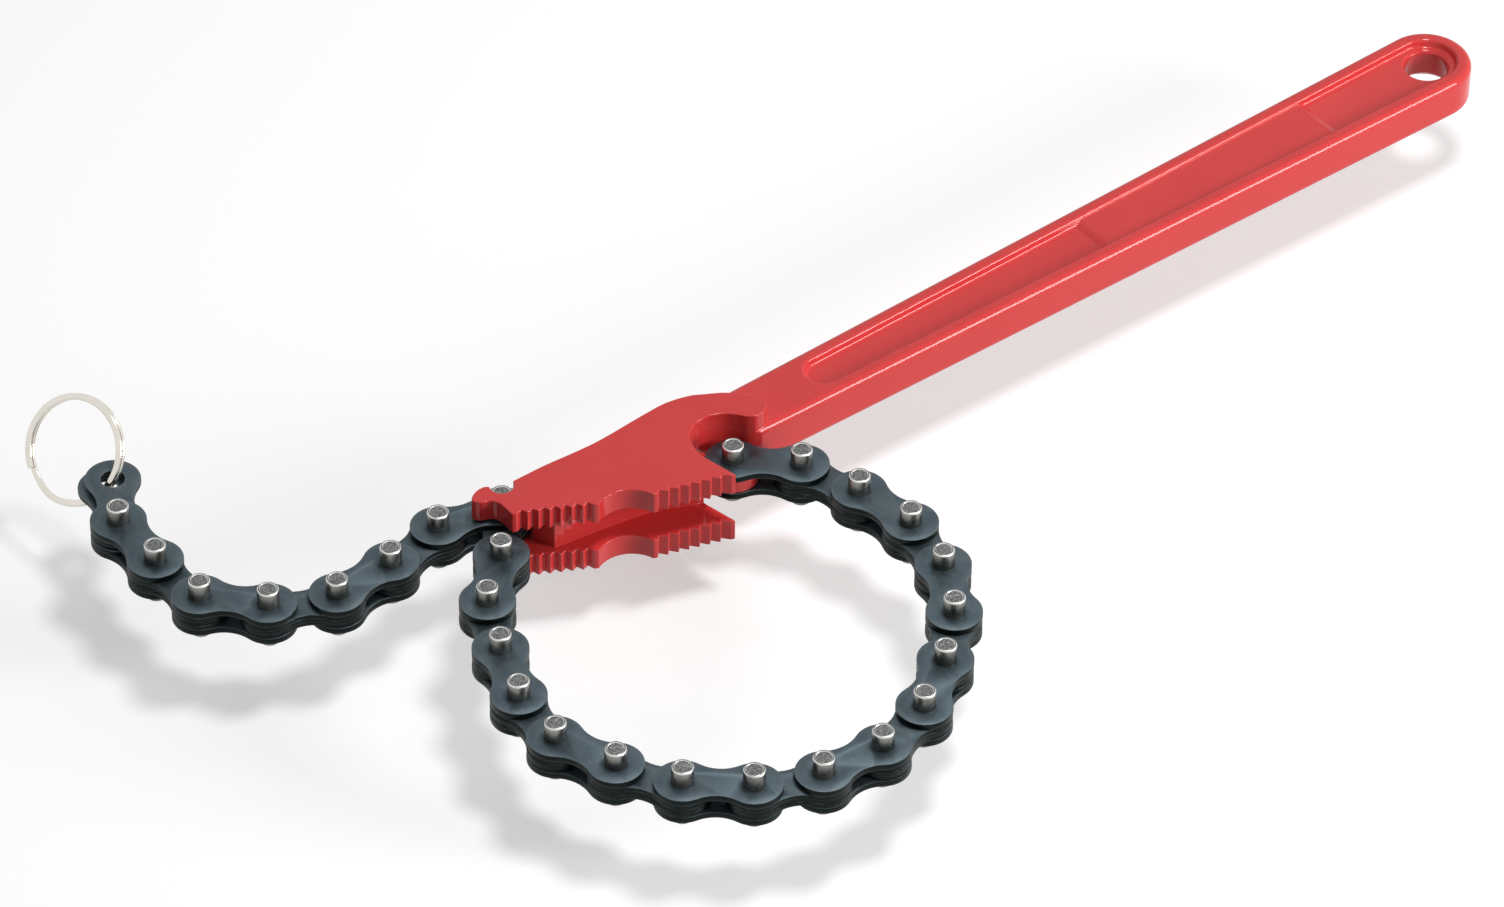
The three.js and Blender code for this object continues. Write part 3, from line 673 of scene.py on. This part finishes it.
def channel_tool():
    """Drawn over the handle's face, and inset step by step on its way down."""
    side = channel_side()
    top = HANDLE_HALF - side[0][1]
    tool = slab("channel_tool", channel_plan(side[0][0]), top, top + OVERRUN)
    open_up(tool, "FACE")
    pick_faces(tool, lambda place, normal: normal.z < -FACING)
    for (before, above), (inset, depth) in zip(side, side[1:]):
        bpy.ops.mesh.inset(thickness=(inset - before) * MM, depth=(depth - above) * MM)
    return close_up(tool)


def panel_block():
    """The blank raised panel in the middle of the channel, sloped at both ends."""
    start, end = PANEL_START, PANEL_START + PANEL_LENGTH
    foot = PANEL_STEP_LENGTH * (1 + OVERRUN / (CHANNEL_DEPTH - PANEL_DEPTH))
    top, bottom = HANDLE_HALF - PANEL_DEPTH, HANDLE_HALF - CHANNEL_DEPTH - OVERRUN
    side = [
        Vector((start - foot, bottom)), Vector((end + foot, bottom)),
        Vector((end, top)), Vector((start, top)),
    ]
    block = slab("panel_block", side, -HANDLE_ROOT_WIDTH / 2, HANDLE_ROOT_WIDTH / 2)
    return move(block, shift(0, HANDLE_RISE, 0) @ turn(QUARTER, "X"))


def hole_tool():
    floor = HANDLE_HALF - CHANNEL_DEPTH
    radius, wide = HANGING_HOLE_RADIUS, HANGING_HOLE_RADIUS + HANGING_HOLE_CHAMFER
    upper = [(floor - HANGING_HOLE_CHAMFER, radius), (floor, wide), (HANDLE_HALF, wide)]
    lower = [(-height, size) for height, size in reversed(upper)]
    return turned("hole_tool", lower + upper, 2 * HALF_TURN_SIDES, HANDLE_END)


def make_handle():
    handle = slab("handle", handle_plan(), -HANDLE_HALF, HANDLE_HALF)
    soften(handle, HANDLE_EDGE_ROUND, EDGE_ROUND_SIDES)
    turned_over = shift(0, 2 * HANDLE_RISE, 0) @ turn(HALF, "X")
    for face in (Matrix.Identity(4), turned_over):
        cut(handle, move(channel_tool(), face))
        join(handle, move(panel_block(), face))
    return cut(handle, hole_tool())


def make_head():
    head = slab("head", head_plan(), -HEAD_HALF, HEAD_HALF)
    return cut(head, slab("slot_tool", slot_plan(), -SLOT_HALF, SLOT_HALF))


def make_lug():
    start, end = math.radians(LUG_NECK_START), math.radians(LUG_NECK_END)
    wall = POCKET_RADIUS + OVERRUN
    plan = arc(ORIGIN, LUG_RADIUS, end - math.tau, start, HALF_TURN_SIDES)
    lug = slab(
        "lug", plan + [polar(ORIGIN, wall, start), polar(ORIGIN, wall, end)],
        -PACK_HALF, PACK_HALF,
    )
    return cut(lug, bore_tool(0, PIN_RADIUS + BORE_CLEARANCE, PIN_HALF_LENGTH))


def in_tight_corner(place):
    off_face = abs(abs(place.z - MIDDLE) - HANDLE_HALF)
    return off_face < RUBBED_HEIGHT and any(
        math.hypot(place.x - x, place.y - y) < reach for x, y, reach in RUBBED_CORNERS
    )


def make_body(material):
    """The whole forging, given one skin with soft edges and blended corners."""
    body = join(make_head(), make_handle())
    over = HEAD_HALF + OVERRUN
    cut(body, slab("pocket_tool", pocket_plan(), -over, over))
    join(body, make_lug())
    move(body, shift(ANCHOR.x, ANCHOR.y, ANCHOR.z))
    open_up(body)
    bpy.ops.mesh.dissolve_limited(angle_limit=math.radians(SKIN_FLAT))
    bpy.ops.mesh.select_all(action="SELECT")
    bpy.ops.mesh.remove_doubles(threshold=SKIN_MERGE * MM)
    bpy.ops.mesh.dissolve_limited(angle_limit=math.radians(SKIN_FLAT))
    for point, normal in SEAM_PLANES:
        bpy.ops.mesh.select_all(action="SELECT")
        bpy.ops.mesh.bisect(plane_co=Vector(point) * MM, plane_no=normal)
    close_up(body)
    apply(
        body, "BEVEL", width=SKIN_ROUND * MM, segments=SKIN_ROUND_SIDES, limit_method="ANGLE",
        angle_limit=math.radians(SKIN_CORNER), use_clamp_overlap=False,
    )
    open_up(body)
    pick_corners(body, in_tight_corner)
    bpy.ops.mesh.vertices_smooth(factor=0.5, repeat=RUBBED_TIMES, zaxis=False)
    close_up(body)
    body.name = "forged_body"
    body.data.name = "forged_body"
    smooth(body, WIDE_SMOOTH_BEND)
    apply(body, "WEIGHTED_NORMAL", weight=NORMAL_WEIGHT, keep_sharp=False)
    return finish(body, "wrench", "wrench_body", material)


# --- Finishes

# The range that holds most of a noise's values, from its dark patches to its light ones
PATCHES = (0.3, 0.7)

# Rounded edges of a flat piece, by how far their normals stand up, and how sharply the patches
# begin where these edges are painted lighter: a painted highlight mixed with wear
TILTED = (0.12, 0.45)
WEAR_HIGHLIGHT_START = 0.9
WEAR_HIGHLIGHT_FADE = 0.35

# Colours
RED_DEEP = (0.55, 0.034, 0.034)
RED_BRIGHT = (0.62, 0.045, 0.043)
PLATE_SIDE = (0.008, 0.013, 0.012)
PLATE_DARK = (0.056, 0.078, 0.092)
PLATE_LIGHT = (0.076, 0.101, 0.116)
# Plate tone for specks of wear, and on rounded edges a painted highlight mixed with wear
PLATE_WORN_AND_HIGHLIGHT = (0.26, 0.3, 0.32)
LEAF_SIDE = (0.01, 0.015, 0.014)
LEAF_DARK = (0.05, 0.07, 0.08)
LEAF_LIGHT = (0.07, 0.09, 0.1)
# Leaf tone for specks of wear, and on rounded edges a painted highlight mixed with wear
LEAF_WORN_AND_HIGHLIGHT = (0.2, 0.23, 0.25)
PIN_SIDE_DARK = (0.085, 0.088, 0.08)
PIN_SIDE_LIGHT = (0.2, 0.195, 0.18)
PIN_END_DARK = (0.09, 0.095, 0.095)
PIN_END_LIGHT = (0.22, 0.225, 0.22)
# Bright rim colour: a painted highlight mixed with wear
PIN_RIM_HIGHLIGHT_AND_WEAR = (0.62, 0.62, 0.6)
NICKEL_WARM = (0.66, 0.62, 0.55)
NICKEL_PALE = (0.8, 0.77, 0.71)


def new_group(name, inputs, outputs):
    """A shader node group: inputs as (name, kind, value), outputs as (name, kind)."""
    group = bpy.data.node_groups.new(name, "ShaderNodeTree")
    for label, kind, value in inputs:
        socket = group.interface.new_socket(label, in_out="INPUT", socket_type=kind)
        socket.default_value = value
    for label, kind in outputs:
        group.interface.new_socket(label, in_out="OUTPUT", socket_type=kind)
    return group, group.nodes.new("NodeGroupInput"), group.nodes.new("NodeGroupOutput")


def node(tree, kind, **settings):
    made = tree.nodes.new(kind)
    for setting, value in settings.items():
        if setting in made.inputs:
            made.inputs[setting].default_value = value
        else:
            setattr(made, setting, value)
    return made


def noise(tree, place, scale, detail, roughness=0.5):
    made = node(tree, "ShaderNodeTexNoise", Detail=detail, Roughness=roughness)
    tree.links.new(place, made.inputs["Vector"])
    if isinstance(scale, (int, float)):
        made.inputs["Scale"].default_value = scale
    else:
        tree.links.new(scale, made.inputs["Scale"])
    return made.outputs["Fac"]


def ramp(tree, value, low, high, to_low=0.0, to_high=1.0):
    made = node(tree, "ShaderNodeMapRange", interpolation_type="SMOOTHSTEP")
    tree.links.new(value, made.inputs["Value"])
    ends = {"From Min": low, "From Max": high, "To Min": to_low, "To Max": to_high}
    for label, amount in ends.items():
        if isinstance(amount, (int, float)):
            made.inputs[label].default_value = amount
        else:
            tree.links.new(amount, made.inputs[label])
    return made.outputs["Result"]


def maths(tree, operation, first, second=None):
    made = node(tree, "ShaderNodeMath", operation=operation)
    for socket, value in zip(made.inputs, (first, second)):
        if value is None:
            continue
        if isinstance(value, (int, float)):
            socket.default_value = value
        else:
            tree.links.new(value, socket)
    return made.outputs[0]


def blend(tree, amount, first, second):
    made = node(tree, "ShaderNodeMix", data_type="RGBA")
    tree.links.new(amount, made.inputs["Factor"])
    for label, colour in (("A", first), ("B", second)):
        socket = next(s for s in made.inputs if s.name == label and s.type == "RGBA")
        if isinstance(colour, tuple):
            socket.default_value = (*colour, 1)
        else:
            tree.links.new(colour, socket)
    return next(s for s in made.outputs if s.type == "RGBA")


def grain_group():
    """Cloudy tone, fine speckle and a bump height, at sizes given in metres."""
    group, given, out = new_group("surface_grain", [
        ("Cloud Size", "NodeSocketFloat", 0.01), ("Speckle Size", "NodeSocketFloat", 0.0005),
        ("Wave Share", "NodeSocketFloat", 0.5),
    ], [
        ("Cloud", "NodeSocketFloat"), ("Speckle", "NodeSocketFloat"),
        ("Height", "NodeSocketFloat"),
    ])
    place = node(group, "ShaderNodeTexCoord").outputs["Object"]
    cloud_scale = maths(group, "DIVIDE", 1.0, given.outputs["Cloud Size"])
    speckle_scale = maths(group, "DIVIDE", 1.0, given.outputs["Speckle Size"])
    cloud = noise(group, place, cloud_scale, detail=3.0)
    speckle = noise(group, place, speckle_scale, detail=2.0, roughness=0.6)
    waves = maths(group, "MULTIPLY", cloud, given.outputs["Wave Share"])
    fine_share = maths(group, "SUBTRACT", 1.0, given.outputs["Wave Share"])
    fine = maths(group, "MULTIPLY", speckle, fine_share)
    group.links.new(cloud, out.inputs["Cloud"])
    group.links.new(speckle, out.inputs["Speckle"])
    group.links.new(maths(group, "ADD", waves, fine), out.inputs["Height"])
    return group


def edge_group():
    """Masks on pieces that lie flat: their rounded edges, where a painted highlight mixed with
    wear is laid, and their upper and lower faces.
    """
    group, given, out = new_group("flat_piece_edges", [
        ("Wear Size", "NodeSocketFloat", 0.002), ("Wear Share", "NodeSocketFloat", 0.6),
        ("Flat From", "NodeSocketFloat", 0.93), ("Flat To", "NodeSocketFloat", 0.995),
    ], [("Edge", "NodeSocketFloat"), ("Face", "NodeSocketFloat")])
    normal = node(group, "ShaderNodeNewGeometry").outputs["Normal"]
    split = node(group, "ShaderNodeSeparateXYZ")
    group.links.new(normal, split.inputs[0])
    upright = maths(group, "ABSOLUTE", split.outputs["Z"])
    face = ramp(group, upright, given.outputs["Flat From"], given.outputs["Flat To"])
    tilted = maths(group, "SUBTRACT", ramp(group, upright, *TILTED), face)
    place = node(group, "ShaderNodeTexCoord").outputs["Object"]
    scale = maths(group, "DIVIDE", 1.0, given.outputs["Wear Size"])
    patch = noise(group, place, scale, detail=3.0, roughness=0.6)
    bare = maths(group, "SUBTRACT", 1.0, given.outputs["Wear Share"])
    wear_highlight_start = maths(group, "MULTIPLY", bare, WEAR_HIGHLIGHT_START)
    worn_and_highlight = ramp(group, patch, wear_highlight_start, maths(group, "ADD", bare, WEAR_HIGHLIGHT_FADE))
    # The edge mask: where rounded edges get a painted highlight mixed with wear, in patches
    edge = maths(group, "MULTIPLY", tilted, worn_and_highlight)
    group.links.new(edge, out.inputs["Edge"])
    group.links.new(face, out.inputs["Face"])
    return group


def use(tree, group, **values):
    made = tree.nodes.new("ShaderNodeGroup")
    made.node_tree = group
    for label, value in values.items():
        made.inputs[label.replace("_", " ")].default_value = value
    return made


def new_material(name, **constants):
    """An empty material with its shader, whose constants are set on the shader itself."""
    material = bpy.data.materials.new(name)
    material.use_nodes = True
    tree = material.node_tree
    shader = tree.nodes["Principled BSDF"]
    for label, value in constants.items():
        shader.inputs[label.replace("_", " ")].default_value = value
    return material, tree, shader


def bump(tree, shader, height, distance, strength):
    made = node(tree, "ShaderNodeBump", Strength=strength, Distance=distance)
    tree.links.new(height, made.inputs["Height"])
    tree.links.new(made.outputs["Normal"], shader.inputs["Normal"])


def red_enamel(grain):
    """Gloss enamel on a forging: an even red, slightly wavy skin, a touch deeper in patches."""
    material, tree, shader = new_material(
        "red_enamel", Coat_Weight=1.0, Coat_Roughness=0.07, Coat_IOR=1.34,
        Specular_IOR_Level=0.0,
    )
    skin = use(tree, grain, Cloud_Size=0.018, Speckle_Size=0.0011, Wave_Share=0.82)
    tone = blend(tree, skin.outputs["Cloud"], RED_DEEP, RED_BRIGHT)
    tree.links.new(tone, shader.inputs["Base Color"])
    rough = ramp(tree, skin.outputs["Speckle"], *PATCHES, to_low=0.3, to_high=0.42)
    tree.links.new(rough, shader.inputs["Roughness"])
    bump(tree, shader, skin.outputs["Height"], distance=0.0006, strength=0.35)
    return material


def oxide(name, grain, edges, side, dark, light, worn_and_highlight, wear_highlight_share):
    """Blackened steel: blue-grey oxide faces, near-black upright sides, and rounded edges
    painted lighter in patches, a painted highlight mixed with wear.
    """
    material, tree, shader = new_material(name, Metallic=0.9, Specular_IOR_Level=0.25)
    skin = use(tree, grain, Cloud_Size=0.005, Speckle_Size=0.00035, Wave_Share=0.2)
    edge_and_face_masks = use(tree, edges, Wear_Size=0.003, Wear_Share=wear_highlight_share)
    tone = blend(tree, ramp(tree, skin.outputs["Cloud"], *PATCHES), dark, light)
    fleck = ramp(tree, skin.outputs["Speckle"], low=0.66, high=0.78, to_high=0.35)
    tone = blend(tree, fleck, tone, worn_and_highlight)
    tone = blend(tree, edge_and_face_masks.outputs["Face"], side, tone)
    # Rounded edges painted lighter in patches: a painted highlight mixed with wear
    tone = blend(tree, edge_and_face_masks.outputs["Edge"], tone, worn_and_highlight)
    tree.links.new(tone, shader.inputs["Base Color"])
    rough = ramp(tree, skin.outputs["Cloud"], low=0.25, high=0.75, to_low=0.4, to_high=0.56)
    tree.links.new(rough, shader.inputs["Roughness"])
    bump(tree, shader, skin.outputs["Height"], distance=0.00012, strength=0.5)
    return material


def pin_steel(grain, edges):
    """Ground pins: rims painted bright in patches as a painted highlight mixed with wear, grey
    ends, dark sides.
    """
    material, tree, shader = new_material("pin_steel", Metallic=1.0)
    skin = use(tree, grain, Cloud_Size=0.004, Speckle_Size=0.0004, Wave_Share=0.3)
    edge_and_face_masks = use(tree, edges, Wear_Size=0.004, Wear_Share=0.9, Flat_From=0.82, Flat_To=0.94)
    patches = ramp(tree, skin.outputs["Cloud"], *PATCHES)
    side = blend(tree, patches, PIN_SIDE_DARK, PIN_SIDE_LIGHT)
    flecks = ramp(tree, skin.outputs["Speckle"], low=0.35, high=0.65)
    end = blend(tree, flecks, PIN_END_DARK, PIN_END_LIGHT)
    tone = blend(tree, edge_and_face_masks.outputs["Face"], side, end)
    # The pin's rim painted bright in patches: a painted highlight mixed with wear
    tone = blend(tree, edge_and_face_masks.outputs["Edge"], tone, PIN_RIM_HIGHLIGHT_AND_WEAR)
    tree.links.new(tone, shader.inputs["Base Color"])
    rough = ramp(tree, skin.outputs["Speckle"], *PATCHES, to_low=0.26, to_high=0.42)
    tree.links.new(rough, shader.inputs["Roughness"])
    bump(tree, shader, skin.outputs["Height"], distance=0.0001, strength=0.4)
    return material


def nickel(grain):
    """Bright plating on spring wire, a little warm."""
    material, tree, shader = new_material("nickel_plate", Metallic=1.0)
    skin = use(tree, grain, Cloud_Size=0.006, Speckle_Size=0.0005, Wave_Share=0.7)
    tone = blend(tree, skin.outputs["Cloud"], NICKEL_WARM, NICKEL_PALE)
    tree.links.new(tone, shader.inputs["Base Color"])
    rough = ramp(tree, skin.outputs["Speckle"], *PATCHES, to_low=0.1, to_high=0.18)
    tree.links.new(rough, shader.inputs["Roughness"])
    bump(tree, shader, skin.outputs["Height"], distance=0.00005, strength=0.3)
    return material


# --- Studio

FLOOR_DROP = 15
FLOOR_SIZE = 6000
FLOOR_GLOW = 0.44
FLOOR_TONE = 0.64
SKY_LEVEL = 0.2

# Lamps as (name, heading in degrees from +X, elevation, distance, size, level of light)
LAMPS = [
    ("key_light", -38.5, 77.5, 900, 230, 0.58),
    ("fill_light", -56, 18, 1300, 540, 0.82),
]

# Camera: aimed at a point of the chain's middle plane, as the photograph was taken
AIM = (30.945, -8.178, 10)
CAMERA_DISTANCE = 1970.3
CAMERA_AZIMUTH = -38.5
CAMERA_ELEVATION = 42.01
CAMERA_ROLL = 0.68
FOCAL_PIXELS = 8527
IMAGE_WIDTH = 1504
SENSOR_WIDTH = 36
CLIP_SHARES = (0.01, 10)


def make_camera():
    azimuth, elevation = math.radians(CAMERA_AZIMUTH), math.radians(CAMERA_ELEVATION)
    back = Vector((
        math.sin(azimuth) * math.cos(elevation), -math.cos(azimuth) * math.cos(elevation),
        math.sin(elevation),
    ))
    camera = bpy.data.objects.new("camera", bpy.data.cameras.new("camera"))
    bpy.context.scene.collection.objects.link(camera)
    camera.data.sensor_width = SENSOR_WIDTH
    camera.data.lens = FOCAL_PIXELS / IMAGE_WIDTH * SENSOR_WIDTH
    near, far = CLIP_SHARES
    camera.data.clip_start = CAMERA_DISTANCE * MM * near
    camera.data.clip_end = CAMERA_DISTANCE * MM * far
    level = (-back).to_track_quat("-Z", "Y").to_matrix().to_4x4()
    place = Matrix.Translation((Vector(AIM) + back * CAMERA_DISTANCE) * MM)
    camera.matrix_world = place @ level @ turn(CAMERA_ROLL)
    bpy.context.scene.camera = camera


def seen_directly(tree):
    """1 for the rays that show the background: to the camera, in gloss and through glass."""
    path = node(tree, "ShaderNodeLightPath")
    seen = maths(tree, "MAXIMUM", path.outputs["Is Camera Ray"], path.outputs["Is Glossy Ray"])
    return maths(tree, "MAXIMUM", seen, path.outputs["Is Transmission Ray"])


def make_floor():
    bpy.ops.object.select_all(action="DESELECT")
    bpy.ops.mesh.primitive_plane_add(size=FLOOR_SIZE * MM, location=(0, 0, -FLOOR_DROP * MM))
    floor = bpy.context.object
    floor.name = "floor"
    material, tree, shader = new_material("floor_paper", Roughness=0.9, Specular_IOR_Level=0.2)
    shader.inputs["Base Color"].default_value = (FLOOR_TONE, FLOOR_TONE, FLOOR_TONE, 1)
    shader.inputs["Emission Color"].default_value = (1, 1, 1, 1)
    glow = maths(tree, "MULTIPLY", seen_directly(tree), FLOOR_GLOW)
    tree.links.new(glow, shader.inputs["Emission Strength"])
    floor.data.materials.append(material)


def make_sky():
    world = bpy.data.worlds.new("studio")
    bpy.context.scene.world = world
    world.use_nodes = True
    tree = world.node_tree
    background = tree.nodes["Background"]
    background.inputs["Color"].default_value = (1, 1, 1, 1)
    strength = ramp(tree, seen_directly(tree), low=0.0, high=1.0, to_low=SKY_LEVEL)
    tree.links.new(strength, background.inputs["Strength"])


def make_lamp(name, heading, elevation, distance, size, level):
    """A round soft lamp whose power gives a facing white surface this level of light."""
    lamp = bpy.data.objects.new(name, bpy.data.lights.new(name, "AREA"))
    bpy.context.scene.collection.objects.link(lamp)
    lamp.data.shape = "DISK"
    lamp.data.size = size * MM
    lamp.data.energy = level * math.pi ** 2 * (distance * MM) ** 2
    heading, elevation = math.radians(heading), math.radians(elevation)
    towards = Vector((
        math.cos(heading) * math.cos(elevation), math.sin(heading) * math.cos(elevation),
        math.sin(elevation),
    ))
    turned_down = (-towards).to_track_quat("-Z", "Y").to_matrix().to_4x4()
    place = Matrix.Translation((Vector(AIM) + towards * distance) * MM)
    lamp.matrix_world = place @ turned_down


def make_studio():
    make_floor()
    make_sky()
    for lamp in LAMPS:
        make_lamp(*lamp)
    bpy.context.scene.view_settings.view_transform = "Standard"


make_camera()
make_studio()
grain = grain_group()
edges = edge_group()
plate_finish = oxide(
    "oxide_plate", grain, edges, PLATE_SIDE, PLATE_DARK, PLATE_LIGHT, PLATE_WORN_AND_HIGHLIGHT,
    wear_highlight_share=0.85,
)
leaf_finish = oxide(
    "oxide_leaf", grain, edges, LEAF_SIDE, LEAF_DARK, LEAF_LIGHT, LEAF_WORN_AND_HIGHLIGHT,
    wear_highlight_share=0.6,
)
make_chain(plate_finish, leaf_finish, pin_steel(grain, edges))
make_ring(nickel(grain))
make_body(red_enamel(grain))
